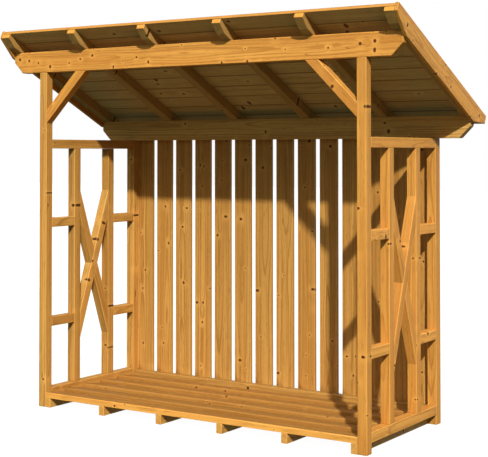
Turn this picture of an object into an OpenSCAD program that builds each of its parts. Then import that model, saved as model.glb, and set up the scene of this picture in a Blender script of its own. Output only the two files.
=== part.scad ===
// Open-fronted log store in sawn and planed softwood, with a single-pitch
// boarded roof. Millimetres, +Z up. The front looks along -Y and the origin
// is on the ground, midway between the roof's ends and edges.

/* [Frame] */
// Width over the outer faces of the posts
frame_w = 2200; // [1700:10:2800]
// Depth over the front and rear faces of the posts
frame_d = 890; // [760:5:1150]
// Side of the square timber used for posts, rails, studs and rafters
timber = 55; // [44:1:70]
// Height of the front posts
front_post_h = 1994; // [1900:2:2300]
// Height of the rear posts
rear_post_h = 1594; // [1500:2:1700]

/* [Base] */
// Number of bearers under the floor
bearer_count = 6; // [4:1:6]
// Width of a bearer
bearer_w = 37; // [30:1:50]
// Number of floor boards
floor_count = 5; // [4:1:5]
// Thickness of a floor board at its front edge
floor_front_t = 36; // [28:1:45]
// Thickness of a floor board at its rear edge
floor_rear_t = 12; // [8:1:20]
// Radius of the rounded front edge of a floor board
floor_round = 8; // [3:1:12]

/* [Sides] */
// Distance between the faces of the two studs of a side
cross_bay = 266; // [220:2:320]
// Height of the underside of the lower mid rails
low_rail_z = 474; // [400:2:560]
// Height of the underside of the upper mid rails
high_rail_z = 1067; // [980:1:1150]
// Height of the middle of the cross brace
cross_z = 825; // [760:5:900]
// Slope of the cross brace's arms, in degrees
cross_angle = 70.3; // [66:0.1:72]

/* [Front] */
// Length of a knee brace along the post and along the purlin
knee_leg = 302; // [200:2:400]

/* [Back] */
// Height of the rail that carries the foot of the back boards
rear_rail_h = 43; // [34:1:60]
// Number of boards in the back wall
back_count = 14; // [8:1:16]
// Width of a back board
back_w = 118; // [80:1:124]
// Thickness of a back board
back_t = 18; // [12:1:22]
// How far the back boards run up behind the rear purlin
back_lap = 70; // [40:1:72]

/* [Roof] */
// Height of the purlins
purlin_h = 126; // [100:1:150]
// Leg of the bevel under a purlin's end
purlin_bevel = 66; // [30:1:80]
// Number of rafters
rafter_count = 6; // [4:1:6]
// Thickness of a barge board
barge_t = 20; // [16:1:26]
// Height of a barge board
barge_h = 108; // [100:1:125]
// How far the barge board's outer face stands outside the post
side_over = 226; // [215:1:280]
// How far the roof's top edge stands in front of the posts
front_over = 87; // [60:1:140]
// How far the roof's top edge stands behind the posts
rear_over = 130; // [90:1:180]
// Height of the square nose at a rafter's or barge board's end
nose_h = 49; // [40:1:60]
// Angle of the taper under a rafter's or barge board's end, in degrees
nose_angle = 22; // [18:1:30]
// Thickness of the roof boards
roof_t = 18; // [14:1:22]
// Number of roof boards
roof_count = 10; // [8:1:12]
// How far the barge boards stand above the roof boards
barge_lip = 6; // [0:1:12]

/* [Hidden] */
$fn = 48;

rail_z = timber;
cross_inner = (frame_d - cross_bay) / 2;
front_stud_y = cross_inner - timber;
rear_stud_y = cross_inner + cross_bay;
stud_top = rear_post_h - timber;
back_run_on = 6; // the last back board ends this far behind the right post
inner_w = frame_w - 2 * timber;
inner_d = frame_d - 2 * timber;

// The roof's slope follows from the two post heights.
pitch = atan((front_post_h - rear_post_h) / (frame_d - timber));
roof_len = (front_over + frame_d + rear_over) / cos(pitch);
roof_drop = timber + roof_t + barge_lip;
roof_w = frame_w + 2 * (side_over - barge_t);

// The ground plan's middle, so that the origin sits at the middle of the bounds.
front_y = -(frame_d + rear_over - front_over - barge_nose_back()) / 2;

function barge_nose_back() = nose_h * sin(pitch);

// Timber colours of a honey glaze.
honey = [0.80, 0.54, 0.24];
light = [0.85, 0.60, 0.30];
amber = [0.74, 0.48, 0.20];

// A profile drawn in Y and Z, given its thickness along X from x.
module side_profile(x, thick) {
    translate([x, 0, 0])
        rotate([90, 0, 90])
            linear_extrude(thick)
                children();
}

// A profile drawn in X and Z, given its thickness along Y from y.
module front_profile(y, thick) {
    translate([0, y + thick, 0])
        rotate([90, 0, 0])
            linear_extrude(thick)
                children();
}

// Moves a child from the right-hand side of the frame to the named side.
module on_side(side) {
    mirror([side == "left" ? 1 : 0, 0, 0])
        children();
}

module bearer(i) {
    span = inner_w - bearer_w;
    x = -inner_w / 2 + (i - 1) * span / (bearer_count - 1);
    color(amber)
        translate([x, front_y, 0])
            cube([bearer_w, frame_d, timber]);
}

// One wedge-shaped board, thick at the front, with its front edge rounded.
module floor_board(i) {
    pitch_y = (frame_d - timber) / floor_count;
    fall = atan((floor_front_t - floor_rear_t) / pitch_y);
    centre_z = floor_front_t - floor_round * tan(fall) - floor_round / cos(fall);
    tangent = [
        floor_round + floor_round * sin(fall),
        centre_z + floor_round * cos(fall)
    ];
    color(honey)
        translate([0, front_y + (i - 1) * pitch_y, timber])
            side_profile(-inner_w / 2, inner_w)
                union() {
                    polygon([
                        [0, 0],
                        [pitch_y, 0],
                        [pitch_y, floor_rear_t],
                        tangent,
                        [floor_round, centre_z],
                        [0, centre_z]
                    ]);
                    translate([floor_round, centre_z])
                        circle(floor_round);
                }
}

module post(side, y, height) {
    color(light)
        on_side(side)
            translate([frame_w / 2 - timber, front_y + y, 0])
                cube([timber, timber, height]);
}

module purlin(y, z) {
    half = roof_w / 2;
    color(light)
        front_profile(front_y + y, timber)
            polygon([
                [-half + purlin_bevel, z],
                [half - purlin_bevel, z],
                [half, z + purlin_bevel],
                [half, z + purlin_h],
                [-half, z + purlin_h],
                [-half, z + purlin_bevel]
            ]);
}

module rear_bottom_rail() {
    color(honey)
        translate([-inner_w / 2, front_y + frame_d - timber, rail_z])
            cube([inner_w, timber, rear_rail_h]);
}

// A rail from front post to rear post.
module side_rail(side, z) {
    color(honey)
        on_side(side)
            translate([frame_w / 2 - timber, front_y + timber, z])
                cube([timber, inner_d, timber]);
}

module stud(side, y) {
    color(honey)
        on_side(side)
            translate([frame_w / 2 - timber, front_y + y, rail_z + timber])
                cube([timber, timber, stud_top - rail_z - timber]);
}

// The four short rails in the front and rear bays of a side.
module mid_rails(side) {
    length = cross_inner - 2 * timber;
    color(honey)
        on_side(side)
            for (y = [timber, cross_inner + cross_bay + timber], z = [low_rail_z, high_rail_z])
                translate([frame_w / 2 - timber, front_y + y, z])
                    cube([timber, length, timber]);
}

// One arm of the cross brace, cut off plumb where it meets the studs.
module cross_arm(flip) {
    half = cross_bay / 2;
    rise = half * tan(cross_angle);
    thick = timber / 2 / cos(cross_angle);
    mirror([flip ? 1 : 0, 0])
        polygon([
            [-half, -rise - thick],
            [half, rise - thick],
            [half, rise + thick],
            [-half, -rise + thick]
        ]);
}

module cross_brace(side) {
    color(honey)
        on_side(side)
            side_profile(frame_w / 2 - timber, timber)
                translate([front_y + frame_d / 2, cross_z])
                    cross_arm(false);
}

// The two short pieces that meet the long arm from above and below.
module cross_halves(side) {
    color(honey)
        on_side(side)
            side_profile(frame_w / 2 - timber, timber)
                translate([front_y + frame_d / 2, cross_z])
                    difference() {
                        cross_arm(true);
                        cross_arm(false);
                    }
}

module knee_brace(side) {
    width = timber * sqrt(2);
    color(light)
        on_side(side)
            front_profile(front_y, timber)
                translate([inner_w / 2, front_post_h])
                    polygon([
                        [0, -knee_leg],
                        [0, -knee_leg + width],
                        [-knee_leg + width, 0],
                        [-knee_leg, 0]
                    ]);
}

// Upright boards nailed behind the rear purlin and the rear bottom rail.
module back_boards() {
    step = (inner_w + back_run_on - back_w) / (back_count - 1);
    height = rear_post_h + back_lap - rail_z;
    color(honey)
        for (i = [0 : back_count - 1])
            translate([-inner_w / 2 + i * step, front_y + frame_d, rail_z])
                cube([back_w, back_t, height]);
}

// Moves a child drawn along the slope, with its top edge on the barge
// boards' top edge: X along the slope to the rear, Y square to it upward.
module on_slope() {
    translate([front_y - front_over, front_post_h + purlin_h + roof_drop / cos(pitch) + front_over * tan(pitch)])
        rotate(-pitch)
            children();
}

// The outline of a rafter or barge board, from depth top to depth bottom
// below the barge boards' top edge, with its ends tapered from below.
module sloped_outline(top, bottom) {
    taper = (bottom - nose_h) / tan(nose_angle);
    polygon([
        [0, -top],
        [roof_len, -top],
        [roof_len, -nose_h],
        [roof_len - taper, -bottom],
        [taper, -bottom],
        [0, -nose_h]
    ]);
}

// The level seats cut where the rafters bear on the purlins.
module purlin_seats() {
    for (seat = [[0, front_post_h], [frame_d - timber, rear_post_h]])
        translate([front_y + seat[0], seat[1]])
            square([timber, purlin_h]);
}

module rafter(i) {
    x = -roof_w / 2 + (i - 1) * (roof_w - timber) / (rafter_count - 1);
    color(amber)
        side_profile(x, timber)
            difference() {
                on_slope()
                    sloped_outline(barge_lip + roof_t, roof_drop);
                purlin_seats();
            }
}

module barge_board(side) {
    color(light)
        on_side(side)
            side_profile(roof_w / 2, barge_t)
                on_slope()
                    sloped_outline(0, barge_h);
}

// Boards across the slope, nailed to the rafters, close together.
module roof_boards() {
    gap = 2;
    step = (roof_len + gap) / roof_count;
    color(amber)
        side_profile(-roof_w / 2, roof_w)
            on_slope()
                for (i = [0 : roof_count - 1])
                    translate([i * step, -barge_lip - roof_t])
                        square([step - gap, roof_t]);
}

for (i = [1 : bearer_count])
    bearer(i);
for (i = [1 : floor_count])
    floor_board(i);
for (i = [1 : rafter_count])
    rafter(i);
post("left", 0, front_post_h);  // front_left_post
post("right", 0, front_post_h);  // front_right_post
post("left", frame_d - timber, rear_post_h);  // rear_left_post
post("right", frame_d - timber, rear_post_h);  // rear_right_post
purlin(0, front_post_h);  // front_purlin
purlin(frame_d - timber, rear_post_h);  // rear_purlin
rear_bottom_rail();
side_rail("left", rail_z);  // left_bottom_rail
side_rail("right", rail_z);  // right_bottom_rail
side_rail("left", stud_top);  // left_top_rail
side_rail("right", stud_top);  // right_top_rail
stud("left", front_stud_y);  // left_front_stud
stud("left", rear_stud_y);  // left_rear_stud
stud("right", front_stud_y);  // right_front_stud
stud("right", rear_stud_y);  // right_rear_stud
mid_rails("left");  // left_mid_rails
mid_rails("right");  // right_mid_rails
cross_brace("left");  // left_cross_brace
cross_brace("right");  // right_cross_brace
cross_halves("left");  // left_cross_halves
cross_halves("right");  // right_cross_halves
knee_brace("left");  // left_knee_brace
knee_brace("right");  // right_knee_brace
back_boards();
barge_board("left");  // left_barge_board
barge_board("right");  // right_barge_board
roof_boards();
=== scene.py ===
import math
import random

import bmesh
import bpy
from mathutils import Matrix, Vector, noise


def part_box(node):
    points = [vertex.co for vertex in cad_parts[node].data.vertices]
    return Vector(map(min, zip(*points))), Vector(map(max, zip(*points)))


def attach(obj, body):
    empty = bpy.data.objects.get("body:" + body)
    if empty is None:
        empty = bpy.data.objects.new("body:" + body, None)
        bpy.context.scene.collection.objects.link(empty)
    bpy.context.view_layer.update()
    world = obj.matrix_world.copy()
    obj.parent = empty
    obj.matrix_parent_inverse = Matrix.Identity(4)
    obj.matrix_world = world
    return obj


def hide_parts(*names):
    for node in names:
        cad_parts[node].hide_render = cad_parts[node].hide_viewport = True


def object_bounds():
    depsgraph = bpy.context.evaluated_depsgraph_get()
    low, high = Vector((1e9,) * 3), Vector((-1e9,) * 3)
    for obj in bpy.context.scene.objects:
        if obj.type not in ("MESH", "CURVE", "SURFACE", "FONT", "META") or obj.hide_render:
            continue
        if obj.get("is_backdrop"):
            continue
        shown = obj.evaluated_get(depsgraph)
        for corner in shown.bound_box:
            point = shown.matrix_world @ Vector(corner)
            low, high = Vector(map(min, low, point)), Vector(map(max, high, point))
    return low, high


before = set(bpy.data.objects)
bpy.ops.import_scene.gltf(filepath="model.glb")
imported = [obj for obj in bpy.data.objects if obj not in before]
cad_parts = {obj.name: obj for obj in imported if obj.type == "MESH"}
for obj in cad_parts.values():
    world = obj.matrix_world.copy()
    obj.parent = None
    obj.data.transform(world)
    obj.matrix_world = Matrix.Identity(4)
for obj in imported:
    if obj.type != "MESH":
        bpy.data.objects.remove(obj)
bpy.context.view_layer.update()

scene = bpy.context.scene


# ---------------------------------------------------------------- Viewpoint
# A long lens at standing eye height, off the store's right front corner. The
# camera is level but for a degree, and the shift brings the store into frame.

eye_height = 1.511
stand_off = Vector((3.925, -5.884, eye_height))
camera_data = bpy.data.cameras.new("camera")
camera = bpy.data.objects.new("camera", camera_data)
scene.collection.objects.link(camera)
camera.location = stand_off
camera.rotation_euler = (math.radians(91.32), 0, math.radians(33.22))
camera_data.sensor_width = 36
camera_data.lens = 89.61
camera_data.shift_x = -0.001
camera_data.shift_y = -0.2118
scene.camera = camera


# ---------------------------------------------------------------- Light and floor
# One crisp key from high at the right front and wide soft boxes over the
# front, the right side and the back. The floor is plain and nearly white.

scene.view_settings.view_transform = "Standard"


def lamp(name, shines, energy, color, width):
    """A lamp far off that shines along a direction from a disc so many degrees wide."""
    data = bpy.data.lights.new(name, "SUN")
    data.energy = energy
    data.color = color
    data.angle = math.radians(width)
    made = bpy.data.objects.new(name, data)
    made.rotation_euler = Vector(shines).to_track_quat("-Z", "Y").to_euler()
    scene.collection.objects.link(made)


lamp("key_light", (-0.755, 1.0, -0.88), 4.6, (0.95, 1.0, 0.91), 1.5)
lamp("front_softbox", (0.0, 1.0, -1.2), 1.1, (1.0, 0.97, 0.92), 70)
lamp("right_softbox", (-1.0, 0.0, -1.2), 0.6, (1.0, 0.86, 0.60), 70)
lamp("back_softbox", (0.0, -1.0, -0.35), 0.9, (1.0, 1.0, 1.0), 80)

surround = bpy.data.worlds.new("surround")
surround.use_nodes = True
scene.world = surround
surround_nodes = surround.node_tree.nodes
surround_links = surround.node_tree.links
fill = surround_nodes["Background"]
fill.inputs["Color"].default_value = (0.74, 1.0, 0.72, 1)
fill.inputs["Strength"].default_value = 0.19
warm_bounce = surround_nodes.new("ShaderNodeBackground")
warm_bounce.inputs["Color"].default_value = (0.60, 0.38, 0.16, 1)
warm_bounce.inputs["Strength"].default_value = 0.14
backdrop = surround_nodes.new("ShaderNodeBackground")
backdrop.inputs["Color"].default_value = (1, 1, 1, 1)
backdrop.inputs["Strength"].default_value = 1.0
light_path = surround_nodes.new("ShaderNodeLightPath")
reflected = surround_nodes.new("ShaderNodeMixShader")
seen = surround_nodes.new("ShaderNodeMixShader")
surround_links.new(light_path.outputs["Is Glossy Ray"], reflected.inputs[0])
surround_links.new(fill.outputs[0], reflected.inputs[1])
surround_links.new(warm_bounce.outputs[0], reflected.inputs[2])
surround_links.new(light_path.outputs["Is Camera Ray"], seen.inputs[0])
surround_links.new(reflected.outputs[0], seen.inputs[1])
surround_links.new(backdrop.outputs[0], seen.inputs[2])
surround_links.new(seen.outputs[0], surround_nodes["World Output"].inputs["Surface"])

floor_half = 40
floor_mesh = bpy.data.meshes.new("studio_floor")
floor_mesh.from_pydata(
    [(-floor_half, -floor_half, 0), (floor_half, -floor_half, 0),
     (floor_half, floor_half, 0), (-floor_half, floor_half, 0)],
    [], [(0, 1, 2, 3)])
studio_floor = bpy.data.objects.new("studio_floor", floor_mesh)
scene.collection.objects.link(studio_floor)
floor_paint = bpy.data.materials.new("floor_paint")
floor_paint.use_nodes = True
floor_shader = floor_paint.node_tree.nodes["Principled BSDF"]
floor_shader.inputs["Base Color"].default_value = (0.10, 0.10, 0.10, 1)
floor_shader.inputs["Roughness"].default_value = 0.9
floor_shader.inputs["Specular IOR Level"].default_value = 0.0
floor_shader.inputs["Emission Color"].default_value = (1, 1, 1, 1)
floor_shader.inputs["Emission Strength"].default_value = 0.98
floor_mesh.materials.append(floor_paint)
studio_floor.visible_diffuse = False
studio_floor.visible_glossy = False
studio_floor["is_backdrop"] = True


# ---------------------------------------------------------------- Bearers
# Six sawn bearers lie front to back on the ground and carry the floor. They
# are spruce like everything else in the store, brushed with a honey glaze.
# The glaze, the way a timber is planed and its arrises eased are set here.

def add_node(tree, kind, inputs=None, **settings):
    """A node with its settings, and its inputs set to values or linked to sockets."""
    made = tree.nodes.new(kind)
    for name, value in settings.items():
        setattr(made, name, value)
    for socket, value in (inputs or {}).items():
        if isinstance(value, bpy.types.NodeSocket):
            tree.links.new(value, made.inputs[socket])
        else:
            made.inputs[socket].default_value = value
    return made


def sums(tree, operation, *values):
    """One step of arithmetic on numbers or sockets."""
    return add_node(tree, "ShaderNodeMath", dict(enumerate(values)), operation=operation).outputs[0]


def ease(tree, value, low, high, start=0.0, end=1.0):
    """A smooth change from start to end as value goes from low to high."""
    inputs = {0: value, 1: low, 2: high, 3: start, 4: end}
    return add_node(tree, "ShaderNodeMapRange", inputs, interpolation_type="SMOOTHSTEP").outputs[0]


def blend(tree, amount, first, second, how="MIX"):
    """Two colours mixed by amount."""
    made = add_node(tree, "ShaderNodeMix", {0: amount}, data_type="RGBA", blend_type=how)
    for socket, value in ((6, first), (7, second)):
        if isinstance(value, bpy.types.NodeSocket):
            tree.links.new(value, made.inputs[socket])
        else:
            made.inputs[socket].default_value = (*value, 1)
    return made.outputs[2]


def stretched(tree, place, scale):
    """Timber coordinates scaled along, across and into the timber."""
    inputs = {0: place, 1: scale}
    return add_node(tree, "ShaderNodeVectorMath", inputs, operation="MULTIPLY").outputs[0]


def cloud(tree, place, scale, detail):
    """Noise over timber coordinates. Gives its value and its three-part colour."""
    made = add_node(tree, "ShaderNodeTexNoise",
                    {"Vector": stretched(tree, place, scale), "Scale": 1.0, "Detail": detail})
    return made.outputs["Fac"], made.outputs["Color"]


def halo(tree, away):
    """A soft round falling-off, 1 in the middle."""
    return sums(tree, "EXPONENT", sums(tree, "MULTIPLY", sums(tree, "MULTIPLY", away, away), -1.0))


def parts(tree, vector):
    """A vector's three numbers."""
    return add_node(tree, "ShaderNodeSeparateXYZ", {0: vector}).outputs


def shade(colour, amount):
    """A colour made lighter or darker."""
    return tuple(amount * c for c in colour)


def from_the_pith(tree, place):
    """How far each point is from the pith and on what bearing. The pith
    wanders along the tree, so the rings run out in long tongues."""
    wander_aside, wander_deep = 0.030, 0.034
    _, across, deep = parts(tree, place)
    wander = parts(tree, cloud(tree, place, (1.3, 4.0, 4.0), 1.0)[1])
    side = sums(tree, "MULTIPLY_ADD", wander[0], wander_aside, across)
    side = sums(tree, "SUBTRACT", side, wander_aside / 2)
    depth = sums(tree, "MULTIPLY_ADD", wander[1], wander_deep, deep)
    depth = sums(tree, "SUBTRACT", depth, wander_deep / 2)
    radius = sums(tree, "SQRT", sums(tree, "ADD", sums(tree, "MULTIPLY", side, side),
                                     sums(tree, "MULTIPLY", depth, depth)))
    return radius, sums(tree, "ARCTAN2", side, depth)


def knots_in(tree, place, bearing, to_the_metre, size):
    """Knots that run out from the pith. Gives where a knot is, how near one
    is, and a number of the knot's own."""
    unrolled, bare_share, raggedness = 0.068, 0.55, 0.0035
    along, _, _ = parts(tree, place)
    knot_place = add_node(tree, "ShaderNodeCombineXYZ",
                          {0: along, 1: sums(tree, "MULTIPLY", bearing, unrolled)}).outputs[0]
    cells = add_node(tree, "ShaderNodeTexVoronoi",
                     {"Vector": knot_place, "Scale": to_the_metre}, voronoi_dimensions="2D")
    chance, tint, _ = add_node(tree, "ShaderNodeSeparateColor", {0: cells.outputs["Color"]}).outputs
    has_knot = sums(tree, "GREATER_THAN", chance, bare_share)
    radius = sums(tree, "MULTIPLY", has_knot, ease(tree, chance, bare_share, 1.0, 0.35 * size, size))
    ragged = sums(tree, "SUBTRACT", cloud(tree, place, (70.0, 70.0, 70.0), 1.0)[0], 0.5)
    off_knot = sums(tree, "DIVIDE", cells.outputs["Distance"], to_the_metre)
    off_knot = sums(tree, "MULTIPLY_ADD", ragged, raggedness, off_knot)
    edge = sums(tree, "ADD", radius, 0.0004)
    in_knot = ease(tree, off_knot, sums(tree, "MULTIPLY", edge, 0.55), edge, 1.0, 0.0)
    in_knot = sums(tree, "MULTIPLY", in_knot, has_knot)
    spread = sums(tree, "DIVIDE", off_knot, sums(tree, "MULTIPLY_ADD", radius, 2.6, 0.002))
    near_knot = sums(tree, "MULTIPLY", has_knot, halo(tree, spread))
    return in_knot, near_knot, tint


def late_wood(tree, place, radius, near_knot, ring):
    """Growth rings: pale early wood, then a narrow darker line of late wood.
    They waver a little and bend outward round the knots."""
    waver = cloud(tree, place, (3.0, 38.0, 38.0), 2.0)[0]
    radius = sums(tree, "MULTIPLY_ADD", waver, 0.0040, radius)
    radius = sums(tree, "MULTIPLY_ADD", near_knot, 0.0035, radius)
    uneven = add_node(tree, "ShaderNodeTexNoise", {"W": radius, "Scale": 55.0, "Detail": 1.0},
                      noise_dimensions="1D").outputs["Fac"]
    rings = sums(tree, "MULTIPLY_ADD", uneven, 2.4, sums(tree, "DIVIDE", radius, ring))
    turn = sums(tree, "FRACT", rings)
    return sums(tree, "MULTIPLY", ease(tree, turn, 0.45, 0.88), ease(tree, turn, 0.90, 1.0, 1.0, 0.0))


def drying_checks(tree, place, amount):
    """Hair cracks along the grain, here and there."""
    split = sums(tree, "SUBTRACT", cloud(tree, place, (0.8, 24.0, 24.0), 1.0)[0], 0.5)
    hair = ease(tree, sums(tree, "ABSOLUTE", split), 0.001, 0.0055, amount, 0.0)
    return sums(tree, "MULTIPLY", hair, ease(tree, cloud(tree, place, (2.2, 6.0, 6.0), 0.0)[0], 0.52, 0.60))


def inward(tree, own):
    """How far a point is from the ends, the edges and the faces of its timber,
    and how far its surface is from the nearest arris."""
    half = add_node(tree, "ShaderNodeAttribute", attribute_name="half").outputs["Vector"]
    outward = add_node(tree, "ShaderNodeVectorMath", {0: own}, operation="ABSOLUTE").outputs[0]
    from_end, from_edge, from_face = parts(tree, add_node(
        tree, "ShaderNodeVectorMath", {0: half, 1: outward}, operation="SUBTRACT").outputs[0])
    lesser = sums(tree, "MINIMUM", from_end, from_edge)
    greater = sums(tree, "MAXIMUM", from_end, from_edge)
    to_arris = sums(tree, "MAXIMUM", lesser, sums(tree, "MINIMUM", greater, from_face))
    return from_end, from_edge, from_face, to_arris


honey = (0.545, 0.235, 0.047)
shaded_honey = (0.500, 0.240, 0.056)


def glazed_spruce(name, tone=1.0, glaze=honey, ring=0.0090, knots=8.0, knot_size=0.0120, gloss=0.50,
                  checks=0.0, joint_shade=0.0, figure=1.0, top=1.0, lit_end=None, underside=None):
    """Spruce under a honey glaze: growth rings, knots, streaks and fibres along
    it, arrises paler from wear and a painted highlight, and darker end grain.
    The figure can be fainter, the joints darkened with painted shade, upward
    faces darkened with painted shade, downward faces tinted with painted shade
    colour, and the end grain lightened with a painted highlight."""
    light, dark, red = (tuple(tone * c * k for c, k in zip(glaze, share)) for share in
                        ((1.20, 1.24, 1.30), (0.66, 0.56, 0.46), (0.95, 0.80, 0.66)))
    material = bpy.data.materials.new(name)
    material.use_nodes = True
    tree = material.node_tree
    shader = tree.nodes["Principled BSDF"]

    # A draw of its own moves each timber to another part of the tree.
    own = add_node(tree, "ShaderNodeAttribute", attribute_name="grain").outputs["Vector"]
    shift = add_node(tree, "ShaderNodeAttribute", attribute_name="shift").outputs["Vector"]
    place = add_node(tree, "ShaderNodeVectorMath", {0: own, 1: shift}, operation="ADD").outputs[0]
    own_tone = sums(tree, "FRACT", sums(tree, "MULTIPLY", parts(tree, shift)[0], 7.13))

    radius, bearing = from_the_pith(tree, place)
    in_knot, near_knot, tint = knots_in(tree, place, bearing, knots, knot_size)
    late = late_wood(tree, place, radius, near_knot, ring)
    crack = drying_checks(tree, place, checks)
    streak = ease(tree, cloud(tree, place, (0.9, 42.0, 42.0), 3.0)[0], 0.38, 0.66)
    broad = ease(tree, cloud(tree, place, (0.5, 11.0, 11.0), 2.0)[0], 0.35, 0.68)
    vein = ease(tree, cloud(tree, place, (1.3, 85.0, 85.0), 2.0)[0], 0.56, 0.68)
    flecks = ease(tree, cloud(tree, place, (16.0, 260.0, 260.0), 1.0)[0], 0.62, 0.74)
    fibre = cloud(tree, place, (26.0, 900.0, 900.0), 2.0)[0]

    from_end, from_edge, from_face, to_arris = inward(tree, own)
    rub = cloud(tree, place, (9.0, 30.0, 30.0), 3.0)[0]
    # Paler arrises, partly wear and partly a painted highlight.
    worn_and_highlit = ease(tree, sums(tree, "MULTIPLY_ADD", rub, -0.004, to_arris), 0.0, 0.0035, 1.0, 0.0)
    end_grain = ease(tree, from_end, 0.0004, 0.0016, 1.0, 0.0)
    near_end = ease(tree, from_end, 0.0, 0.035, 1.0, 0.0)

    # The colour is laid on in coats, each over a part of the wood.
    heart = blend(tree, tint, (0.045, 0.008, 0.001), (0.100, 0.018, 0.002))
    coats = [(late, 0.70 * figure, dark), (streak, 0.46 * figure, dark), (broad, 0.50 * figure, red),
             (vein, 0.42 * figure, dark), (flecks, 0.50, shade(dark, 0.45)),
             (near_knot, 0.42, shade(light, 1.22)), (in_knot, 0.94, heart),
             (crack, 0.75, (0.07, 0.025, 0.008)), (worn_and_highlit, 0.34 * figure, shade(light, 1.28))]
    # Painted shade darkens each board's faces along its edges, at the joints between boards.
    if joint_shade:
        painted_joint_shade = ease(tree, sums(tree, "MULTIPLY_ADD", rub, -0.004, from_edge), 0.0, 0.006, joint_shade, 0.0)
        painted_joint_shade = sums(tree, "MULTIPLY", painted_joint_shade, ease(tree, from_face, 0.001, 0.004, 1.0, 0.0))
        coats.append((painted_joint_shade, 1.0, shade(dark, 0.30)))
    coats += [(end_grain, 0.12, shade(dark, 0.62)), (near_end, 0.10, shade(dark, 0.6))]
    # Painted highlight: the end grain can take a lighter colour of its own.
    if lit_end:
        coats.append((end_grain, 0.8, lit_end))
    wood = light
    for where, strength, colour in coats:
        wood = blend(tree, sums(tree, "MULTIPLY", where, strength), wood, colour)

    # Each timber is a little lighter or darker than the next, and each fibre too.
    upward = parts(tree, add_node(tree, "ShaderNodeNewGeometry").outputs["Normal"])[2]
    # Painted shade colour tints the downward faces.
    if underside:
        wood = blend(tree, ease(tree, upward, -0.95, -0.5, 1.0, 0.0), wood, underside, "MULTIPLY")
    bright = sums(tree, "MULTIPLY_ADD", own_tone, 0.13, 0.935)
    # Painted shade: upward faces are made darker than the sides.
    if top < 1.0:
        bright = sums(tree, "MULTIPLY", bright, ease(tree, upward, 0.5, 0.95, 1.0, top))
    bright = sums(tree, "MULTIPLY_ADD", sums(tree, "SUBTRACT", fibre, 0.5), 0.24, bright)
    grey = add_node(tree, "ShaderNodeCombineColor", {0: bright, 1: bright, 2: bright}).outputs[0]
    wood = blend(tree, 1.0, wood, grey, "MULTIPLY")
    tree.links.new(wood, shader.inputs["Base Color"])

    # Late wood shines a little more than early wood, and end grain least.
    rough = sums(tree, "MULTIPLY_ADD", late, -0.07, gloss + 0.04)
    rough = sums(tree, "MULTIPLY_ADD", sums(tree, "SUBTRACT", rub, 0.5), 0.16, rough)
    rough = sums(tree, "MULTIPLY_ADD", end_grain, 0.22, rough)
    tree.links.new(rough, shader.inputs["Roughness"])
    shader.inputs["Specular IOR Level"].default_value = 0.22

    relief = sums(tree, "MULTIPLY", fibre, 0.30)
    for where, height in ((late, 0.55), (in_knot, 0.9), (flecks, -0.35), (crack, -2.5)):
        relief = sums(tree, "MULTIPLY_ADD", where, height, relief)
    bump = add_node(tree, "ShaderNodeBump", {"Height": relief, "Strength": 0.45, "Distance": 0.0006})
    tree.links.new(bump.outputs["Normal"], shader.inputs["Normal"])
    return material


ALONG_X = (Vector((1, 0, 0)), Vector((0, 0, 1)), Vector((0, 1, 0)))
ALONG_Y = (Vector((0, 1, 0)), Vector((0, 0, 1)), Vector((1, 0, 0)))
UPRIGHT = (Vector((0, 0, 1)), Vector((1, 0, 0)), Vector((0, 1, 0)))
nick_spacing, nick_depth, nicks_to_the_metre = 0.11, 0.0005, 9


def separate_solids(bm):
    """The vertices of each separate solid, lowest first along X, then Y, then Z."""
    left = set(bm.verts)
    solids = []
    while left:
        reached = [left.pop()]
        for vert in reached:
            for edge in vert.link_edges:
                other = edge.other_vert(vert)
                if other in left:
                    left.remove(other)
                    reached.append(other)
        solids.append(reached)
    return sorted(solids, key=lambda verts: tuple(
        round(min(v.co[i] for v in verts), 4) for i in range(3)))


pith_aside = 0.03
pith_nearest, pith_furthest = 0.055, 0.095
tree_length = 40


def give_grain(bm, node, axes):
    """Tell each point where it lies along, across and into its own timber, how
    far that timber reaches, and where in the tree the timber was sawn."""
    grain = bm.verts.layers.float_vector.new("grain")
    half = bm.verts.layers.float_vector.new("half")
    shift = bm.verts.layers.float_vector.new("shift")
    for count, verts in enumerate(separate_solids(bm)):
        draw = random.Random(f"{node} {count}")
        start = Vector((draw.uniform(0, tree_length), draw.uniform(-pith_aside, pith_aside),
                        draw.uniform(pith_nearest, pith_furthest)))
        spans = [[v.co.dot(axis) for v in verts] for axis in axes]
        middle = Vector([(min(s) + max(s)) / 2 for s in spans])
        extent = Vector([(max(s) - min(s)) / 2 for s in spans])
        start.z += extent.z
        for v in verts:
            v[grain] = Vector([v.co.dot(axis) for axis in axes]) - middle
            v[half] = extent
            v[shift] = start


smallest_corner = math.radians(20)
stray, off_plane = 1e-5, 1e-4


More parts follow.
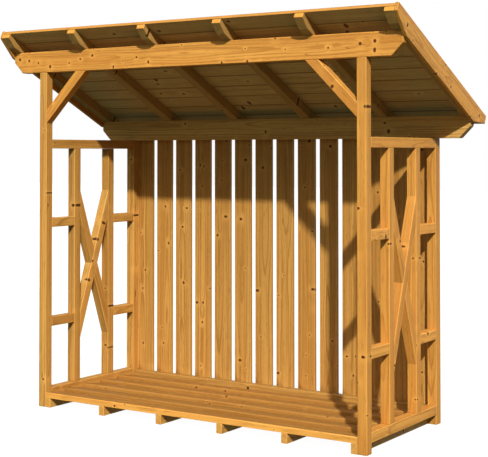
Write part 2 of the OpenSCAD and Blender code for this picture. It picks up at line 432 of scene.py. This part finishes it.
def planed(name, node, axes, arris=0.003, only_first=False, close_at=None):
    """A copy of a CAD timber with its faces cleaned, its arrises eased and
    lightly nicked, and each point told where it lies in its own timber.
    Arrises at Y = close_at, where another timber closes up, stay square."""
    bm = bmesh.new()
    bm.from_mesh(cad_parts[node].data)
    bmesh.ops.remove_doubles(bm, verts=bm.verts, dist=stray)
    bmesh.ops.dissolve_limit(bm, angle_limit=math.radians(1), verts=bm.verts, edges=bm.edges)
    if only_first:
        spare = [v for verts in separate_solids(bm)[1:] for v in verts]
        bmesh.ops.delete(bm, geom=spare, context="VERTS")

    def closed_up(vert):
        return close_at is not None and abs(vert.co.y - close_at) < off_plane

    sharp = [e for e in bm.edges if e.calc_face_angle(0) > smallest_corner
             and not all(closed_up(v) for v in e.verts)]
    bmesh.ops.bevel(bm, geom=sharp, offset=arris, offset_type="OFFSET", segments=3,
                    profile=0.5, affect="EDGES", clamp_overlap=True)
    for face in bm.faces:
        face.smooth = min(edge.calc_length() for edge in face.edges) < arris
    reach = [v.co.dot(axes[0]) for v in bm.verts]
    cuts = int((max(reach) - min(reach)) / nick_spacing)
    for i in range(1, cuts + 1):
        at = min(reach) + i * (max(reach) - min(reach)) / (cuts + 1)
        bmesh.ops.bisect_plane(bm, geom=[*bm.verts, *bm.edges, *bm.faces],
                               plane_co=axes[0] * at, plane_no=axes[0])

    give_grain(bm, node, axes)
    bm.normal_update()
    nicks = [(v, v.normal.copy()) for v in bm.verts
             if max(abs(c) for c in v.normal) < 0.995 and not closed_up(v)]
    for v, normal in nicks:
        v.co -= normal * nick_depth * (0.5 + 0.5 * noise.noise(v.co * nicks_to_the_metre))
    mesh = bpy.data.meshes.new(name)
    bm.to_mesh(mesh)
    bm.free()
    piece = bpy.data.objects.new(name, mesh)
    scene.collection.objects.link(piece)
    return piece


def finished(piece, material, node):
    """The piece takes its glaze and stands for its CAD timber or timbers."""
    piece.data.materials.clear()
    piece.data.materials.append(material)
    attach(piece, "root")
    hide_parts(node)


bearer_glaze = glazed_spruce("bearer_glaze", tone=1.28, glaze=shaded_honey)
for i in range(1, 7):
    bearer = planed(f"bearer_{i}_sawn", f"bearer_{i}", ALONG_Y, arris=0.002)
    finished(bearer, bearer_glaze, f"bearer_{i}")


# ---------------------------------------------------------------- Floor boards
# Five wedge-shaped boards lie across the bearers, each with a thick rounded
# front edge standing a little above the thin rear edge of the one before it.
# The front board is a lighter copy of the floor's glaze, a painted highlight
# on its front edge, and its upward faces are darkened by painted shade.

floor_glaze = glazed_spruce("floor_glaze", tone=0.58, knots=9.0, knot_size=0.009, gloss=0.56,
                            figure=0.5)
# The front board's glaze is a lighter copy, a painted highlight on its front edge, with painted shade on
# its top.
step_glaze = glazed_spruce("step_glaze", tone=1.12, knots=9.0, knot_size=0.009, gloss=0.56,
                           figure=0.5, top=0.52)
for i in range(1, 6):
    board = planed(f"floor_board_{i}_planed", f"floor_board_{i}", ALONG_X, arris=0.0015)
    finished(board, step_glaze if i == 1 else floor_glaze, f"floor_board_{i}")


# ---------------------------------------------------------------- Posts
# Four square posts stand at the corners. The front pair is taller, which
# gives the roof its fall, and its arrises are planed off a little wider. The
# rear pair is left square where the back boards close up against it.

wall_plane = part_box("rear_left_post")[1][1]
post_glaze = glazed_spruce("post_glaze", checks=1.0, knots=8.0, knot_size=0.011)
# The left posts take a darker, greyer copy of the glaze as painted shade for their shaded inner faces.
left_post_glaze = glazed_spruce("left_post_glaze", tone=1.03, glaze=shaded_honey, checks=1.0,
                                knots=8.0, knot_size=0.011)
for end, arris in (("front", 0.004), ("rear", 0.002)):
    for side, glaze in (("left", left_post_glaze), ("right", post_glaze)):
        node = f"{end}_{side}_post"
        post = planed(f"{node}_planed", node, UPRIGHT, arris, close_at=wall_plane)
        finished(post, glaze, node)


# ---------------------------------------------------------------- Purlins
# Two deep beams lie on the posts, run on past them at both ends and have the
# underside of each end cut away at 45 degrees.

# A greyer honey stands in as painted shade colour for the rear purlin and the rafters, which lie in shade.
greyer_shade_honey = (0.485, 0.258, 0.074)
front_glaze = glazed_spruce("front_glaze", tone=1.12, ring=0.0085, knots=12.0, knot_size=0.011,
                            checks=0.7)
rear_glaze = glazed_spruce("rear_glaze", tone=1.12, glaze=greyer_shade_honey, ring=0.0085,
                           knots=5.0, knot_size=0.013)
for place, glaze in (("front", front_glaze), ("rear", rear_glaze)):
    purlin = planed(f"{place}_purlin_planed", f"{place}_purlin", ALONG_X, arris=0.004)
    finished(purlin, glaze, f"{place}_purlin")


# ---------------------------------------------------------------- Rails
# Rails join the posts at the foot of each side, at the head of each side and
# along the foot of the back. Short rails fill the sides' front and rear bays.

rail_glaze = glazed_spruce("rail_glaze", tone=1.12)
# The left side's rails, studs and braces take a darker copy of the glaze as painted shade for their shaded
# inner faces.
shaded_left_glaze = glazed_spruce("shaded_left_glaze", tone=0.97, glaze=shaded_honey, checks=0.6)
rear_rail_glaze = glazed_spruce("rear_rail_glaze", tone=0.70, glaze=shaded_honey, figure=0.6)
rear_rail = planed("rear_bottom_rail_planed", "rear_bottom_rail", ALONG_X)
finished(rear_rail, rear_rail_glaze, "rear_bottom_rail")
for side in ("left", "right"):
    for level in ("bottom_rail", "top_rail", "mid_rails"):
        rail = planed(f"{side}_{level}_planed", f"{side}_{level}", ALONG_Y)
        finished(rail, shaded_left_glaze if side == "left" else rail_glaze, f"{side}_{level}")


# ---------------------------------------------------------------- Studs and cross braces
# Two studs stand in each side, and a crossed brace is cut in between them:
# one long arm, and two halves that butt against it.

side_glaze = glazed_spruce("side_glaze", tone=1.04, checks=0.6)
brace_rise = math.radians(70.3)
rising = (Vector((0, math.cos(brace_rise), math.sin(brace_rise))),
          Vector((0, -math.sin(brace_rise), math.cos(brace_rise))), Vector((1, 0, 0)))
falling = (Vector((0, -math.cos(brace_rise), math.sin(brace_rise))),
           Vector((0, math.sin(brace_rise), math.cos(brace_rise))), Vector((1, 0, 0)))
for side, glaze in (("left", shaded_left_glaze), ("right", side_glaze)):
    for which in ("front", "rear"):
        stud = planed(f"{side}_{which}_stud_planed", f"{side}_{which}_stud", UPRIGHT)
        finished(stud, glaze, f"{side}_{which}_stud")
    long_arm = planed(f"{side}_cross_brace_planed", f"{side}_cross_brace", rising)
    finished(long_arm, glaze, f"{side}_cross_brace")
    halves = planed(f"{side}_cross_halves_planed", f"{side}_cross_halves", falling)
    finished(halves, glaze, f"{side}_cross_halves")


# ---------------------------------------------------------------- Knee braces
# A brace at 45 degrees stiffens each front corner. Its ends are cut to lie
# flat on the post's inner face and on the purlin's underside.

half_turn = math.sqrt(0.5)
for side, lean in (("left", 1), ("right", -1)):
    slant = (Vector((lean * half_turn, 0, half_turn)),
             Vector((-lean * half_turn, 0, half_turn)), Vector((0, 1, 0)))
    knee = planed(f"{side}_knee_brace_planed", f"{side}_knee_brace", slant)
    finished(knee, side_glaze, f"{side}_knee_brace")


# ---------------------------------------------------------------- Back boards
# Upright boards stand behind the rear purlin and the rear bottom rail with
# even gaps between them, so that air passes through the stack.

def solid_middles(node):
    """The middle of each separate solid of a CAD node, in order."""
    bm = bmesh.new()
    bm.from_mesh(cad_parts[node].data)
    bmesh.ops.remove_doubles(bm, verts=bm.verts, dist=stray)
    middles = []
    for verts in separate_solids(bm):
        low = Vector([min(v.co[i] for v in verts) for i in range(3)])
        high = Vector([max(v.co[i] for v in verts) for i in range(3)])
        middles.append((low + high) / 2)
    bm.free()
    return middles


def row_tree():
    """A tree that lays copies of one board side by side, each with its own draw of grain."""
    tree = bpy.data.node_groups.new("boards_in_a_row", "GeometryNodeTree")
    face = tree.interface
    face.new_socket("Geometry", in_out="INPUT", socket_type="NodeSocketGeometry")
    for name, kind in (("Count", "NodeSocketInt"), ("Step", "NodeSocketVector"),
                       ("Pith depth", "NodeSocketFloat"), ("Seed", "NodeSocketInt"),
                       ("Glaze", "NodeSocketMaterial")):
        face.new_socket(name, in_out="INPUT", socket_type=kind)
    face.new_socket("Geometry", in_out="OUTPUT", socket_type="NodeSocketGeometry")
    given = add_node(tree, "NodeGroupInput").outputs
    line = add_node(tree, "GeometryNodeMeshLine", {"Count": given["Count"], "Offset": given["Step"]})
    bare = add_node(tree, "GeometryNodeRemoveAttribute",
                    {"Geometry": given["Geometry"], "Name": "shift"})
    laid = add_node(tree, "GeometryNodeInstanceOnPoints",
                    {"Points": line.outputs[0], "Instance": bare.outputs[0]})
    nearest = add_node(tree, "ShaderNodeCombineXYZ", {0: 0.0, 1: -0.03, 2: given["Pith depth"]})
    furthest = add_node(tree, "ShaderNodeVectorMath",
                        {0: nearest.outputs[0], 1: (40.0, 0.06, 0.04)}, operation="ADD")
    draw = add_node(tree, "FunctionNodeRandomValue",
                    {0: nearest.outputs[0], 1: furthest.outputs[0], "Seed": given["Seed"]},
                    data_type="FLOAT_VECTOR")
    told = add_node(tree, "GeometryNodeStoreNamedAttribute",
                    {"Geometry": laid.outputs[0], "Name": "shift", "Value": draw.outputs[0]},
                    data_type="FLOAT_VECTOR", domain="INSTANCE")
    plain = add_node(tree, "GeometryNodeRealizeInstances", {0: told.outputs[0]})
    glazed = add_node(tree, "GeometryNodeSetMaterial",
                      {"Geometry": plain.outputs[0], "Material": given["Glaze"]})
    add_node(tree, "NodeGroupOutput", {0: glazed.outputs[0]})
    return tree


def grown(source, tree, name, **inputs):
    """The plain mesh that a tree makes of a source object, whose own object goes."""
    modifier = source.modifiers.new("tree", "NODES")
    modifier.node_group = tree
    sockets = {s.name: s.identifier for s in tree.interface.items_tree if s.in_out == "INPUT"}
    for socket, value in inputs.items():
        modifier[sockets[socket.replace("_", " ")]] = value
    source.update_tag()
    evaluated = source.evaluated_get(bpy.context.evaluated_depsgraph_get())
    mesh = bpy.data.meshes.new_from_object(evaluated)
    mesh.name = name
    piece = bpy.data.objects.new(name, mesh)
    scene.collection.objects.link(piece)
    bpy.data.objects.remove(source)
    return piece


boards_in_a_row = row_tree()
back_glaze = glazed_spruce("back_glaze", tone=0.90, glaze=shaded_honey, ring=0.0075,
                           knots=8.0, knot_size=0.011)
back_places = solid_middles("back_boards")
first_board = planed("back_board_pattern", "back_boards", UPRIGHT, arris=0.001, only_first=True,
                     close_at=wall_plane)
back_wall = grown(first_board, boards_in_a_row, "back_boards_planed", Count=len(back_places),
                  Step=tuple(back_places[1] - back_places[0]), Pith_depth=0.05, Seed=4,
                  Glaze=back_glaze)
finished(back_wall, back_glaze, "back_boards")


# ---------------------------------------------------------------- Rafters
# Six square rafters run down the roof, seated on both purlins. Their ends
# have a square nose with a taper cut away beneath it.

roof_places = solid_middles("roof_boards")
roof_places.sort(key=lambda place: place.y)
down_slope = (roof_places[-1] - roof_places[0]).normalized()
square_to_slope = Vector((0, -down_slope.z, down_slope.y))
along_slope = (down_slope, Vector((1, 0, 0)), square_to_slope)
# The rafters' glaze is a darker copy as painted shade, their downward faces take a painted shade tint, and
# their end grain a painted highlight.
lit_end_honey = (0.730, 0.290, 0.046)
rafter_glaze = glazed_spruce("rafter_glaze", tone=0.85, glaze=greyer_shade_honey, figure=0.7, lit_end=lit_end_honey,
                             underside=(0.85, 0.95, 1.15))
for i in range(1, 7):
    rafter = planed(f"rafter_{i}_planed", f"rafter_{i}", along_slope)
    finished(rafter, rafter_glaze, f"rafter_{i}")


# ---------------------------------------------------------------- Roof boards
# Boards lie close together across the rafters. Their eased lower arrises
# show from below as fine dark joints, deepened by painted shade along each
# board's edges.

# The roof boards' downward faces take a painted shade tint.
roof_glaze = glazed_spruce("roof_glaze", tone=0.90, knots=6.0, knot_size=0.016, joint_shade=0.50,
                           figure=0.6, underside=(0.92, 1.42, 3.00))
across_slope = (Vector((1, 0, 0)), down_slope, square_to_slope)
first_course = planed("roof_board_pattern", "roof_boards", across_slope, arris=0.002, only_first=True)
course_step = (roof_places[-1] - roof_places[0]) / (len(roof_places) - 1)
roof = grown(first_course, boards_in_a_row, "roof_boards_planed", Count=len(roof_places),
             Step=tuple(course_step), Pith_depth=0.05, Seed=9, Glaze=roof_glaze)
finished(roof, roof_glaze, "roof_boards")


# ---------------------------------------------------------------- Barge boards
# A thin deep board closes each side of the roof. It covers the ends of the
# roof boards, stands just above them, and is tapered at both ends.

barge_glaze = glazed_spruce("barge_glaze", tone=0.99, ring=0.0075, knots=10.0, knot_size=0.010)
face_out = (down_slope, square_to_slope, Vector((1, 0, 0)))
for side in ("left", "right"):
    barge = planed(f"{side}_barge_board_planed", f"{side}_barge_board", face_out)
    finished(barge, barge_glaze, f"{side}_barge_board")


# ---------------------------------------------------------------- Screws
# Countersunk screws with a star recess hold the back boards, the floor
# boards and the roof boards. Each head sits flush in the timber.

screw_steel = bpy.data.materials.new("screw_steel")
screw_steel.use_nodes = True
steel_tree = screw_steel.node_tree
steel_shader = steel_tree.nodes["Principled BSDF"]
steel_shader.inputs["Metallic"].default_value = 1.0
steel_place = add_node(steel_tree, "ShaderNodeTexCoord").outputs["Object"]
dulled = cloud(steel_tree, steel_place, (420.0, 420.0, 420.0), 2.0)[0]
steel_colour = blend(steel_tree, ease(steel_tree, dulled, 0.35, 0.70),
                     (0.56, 0.52, 0.43), (0.30, 0.26, 0.19))
steel_tree.links.new(steel_colour, steel_shader.inputs["Base Color"])
steel_tree.links.new(ease(steel_tree, dulled, 0.3, 0.7, 0.32, 0.58), steel_shader.inputs["Roughness"])
steel_bump = add_node(steel_tree, "ShaderNodeBump",
                      {"Height": dulled, "Strength": 0.3, "Distance": 0.0001})
steel_tree.links.new(steel_bump.outputs["Normal"], steel_shader.inputs["Normal"])

head_radius = 0.004
head_rings = ((1.00, 1.00, -0.0020), (1.00, 1.00, -0.0001), (0.90, 0.90, 0.0002),
              (0.50, 0.38, 0.0002), (0.42, 0.31, -0.0014))


def screw_head():
    """A screw head about the Z axis, with its rim at the timber's surface."""
    around = 12
    bm = bmesh.new()
    rings = []
    for out_reach, in_reach, height in head_rings:
        ring = []
        for k in range(around):
            reach = head_radius * (in_reach if k % 2 else out_reach)
            angle = k * math.tau / around
            ring.append(bm.verts.new((reach * math.cos(angle), reach * math.sin(angle), height)))
        rings.append(ring)
    for lower, upper in zip(rings, rings[1:]):
        for k in range(around):
            bm.faces.new((lower[k], lower[(k + 1) % around], upper[(k + 1) % around], upper[k]))
    bm.faces.new(rings[-1])
    bm.faces.new(reversed(rings[0]))
    mesh = bpy.data.meshes.new("screw_head")
    bm.to_mesh(mesh)
    bm.free()
    return bpy.data.objects.new("screw_head", mesh)


def screws_tree():
    """A tree that sets a screw head at each point, square to one axis and turned at random."""
    tree = bpy.data.node_groups.new("screws_driven", "GeometryNodeTree")
    face = tree.interface
    for name, kind in (("Geometry", "NodeSocketGeometry"), ("Head", "NodeSocketObject"),
                       ("Axis", "NodeSocketVector"), ("Seed", "NodeSocketInt"),
                       ("Steel", "NodeSocketMaterial")):
        face.new_socket(name, in_out="INPUT", socket_type=kind)
    face.new_socket("Geometry", in_out="OUTPUT", socket_type="NodeSocketGeometry")
    given = add_node(tree, "NodeGroupInput").outputs
    head = add_node(tree, "GeometryNodeObjectInfo", {"Object": given["Head"]})
    points = add_node(tree, "GeometryNodeMeshToPoints", {"Mesh": given["Geometry"]})
    square = add_node(tree, "FunctionNodeAlignRotationToVector", {"Vector": given["Axis"]}, axis="Z")
    turn = add_node(tree, "FunctionNodeRandomValue",
                    {"Min": (0.0, 0.0, 0.0), "Max": (0.0, 0.0, math.tau), "Seed": given["Seed"]},
                    data_type="FLOAT_VECTOR")
    turned = add_node(tree, "FunctionNodeRotateRotation",
                      {"Rotation": square.outputs[0], "Rotate By": turn.outputs[0]},
                      rotation_space="LOCAL")
    driven = add_node(tree, "GeometryNodeInstanceOnPoints",
                      {"Points": points.outputs[0], "Instance": head.outputs["Geometry"],
                       "Rotation": turned.outputs[0]})
    plain = add_node(tree, "GeometryNodeRealizeInstances", {0: driven.outputs[0]})
    steel = add_node(tree, "GeometryNodeSetMaterial",
                     {"Geometry": plain.outputs[0], "Material": given["Steel"]})
    add_node(tree, "NodeGroupOutput", {0: steel.outputs[0]})
    return tree


screws_driven = screws_tree()
screw = screw_head()


def driven(name, places, axis, seed):
    """One piece of screw heads at these places, facing along the axis."""
    mesh = bpy.data.meshes.new(name)
    mesh.from_pydata(places, [], [])
    marks = bpy.data.objects.new(name, mesh)
    scene.collection.objects.link(marks)
    heads = grown(marks, screws_driven, name, Head=screw, Axis=tuple(axis), Seed=seed, Steel=screw_steel)
    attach(heads, "root")


rail_low, rail_high = (Vector(v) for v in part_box("rear_bottom_rail"))
beam_low, _ = (Vector(v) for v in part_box("rear_purlin"))
_, wall_high = (Vector(v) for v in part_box("back_boards"))
from_edge = 0.030
back_screws = [(place.x + side * from_edge, wall_high.y, z) for place in back_places
               for side in (-1, 1)
               for z in ((rail_low.z + rail_high.z) / 2, (beam_low.z + wall_high.z) / 2)]
driven("back_board_screws", back_screws, (0, 1, 0), 3)

floor_screws = []
front_thick, rear_thick = 0.036, 0.012
for i in range(1, 6):
    low, high = (Vector(v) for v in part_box(f"floor_board_{i}"))
    depth = high.y - low.y
    for j in range(1, 7):
        bearer_low, bearer_high = (Vector(v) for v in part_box(f"bearer_{j}"))
        for back in (from_edge, depth - from_edge):
            top = low.z + front_thick + (rear_thick - front_thick) * back / depth
            floor_screws.append(((bearer_low.x + bearer_high.x) / 2, low.y + back, top))
floor_fall = Vector((0, front_thick - rear_thick, depth)).normalized()
driven("floor_screws", floor_screws, floor_fall, 5)

roof_screws = []
half_board = (roof_places[1] - roof_places[0]).length / 2 - from_edge
board_thick = 0.018
for place in roof_places:
    for j in range(1, 7):
        low, high = (Vector(v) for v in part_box(f"rafter_{j}"))
        for side in (-1, 1):
            mark = place + down_slope * half_board * side + square_to_slope * board_thick / 2
            mark.x = (low.x + high.x) / 2
            roof_screws.append(tuple(mark))
driven("roof_screws", roof_screws, square_to_slope, 7)
bpy.data.objects.remove(screw)


# ---------------------------------------------------------------- Bounds
# The bounds of the finished store.

low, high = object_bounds()
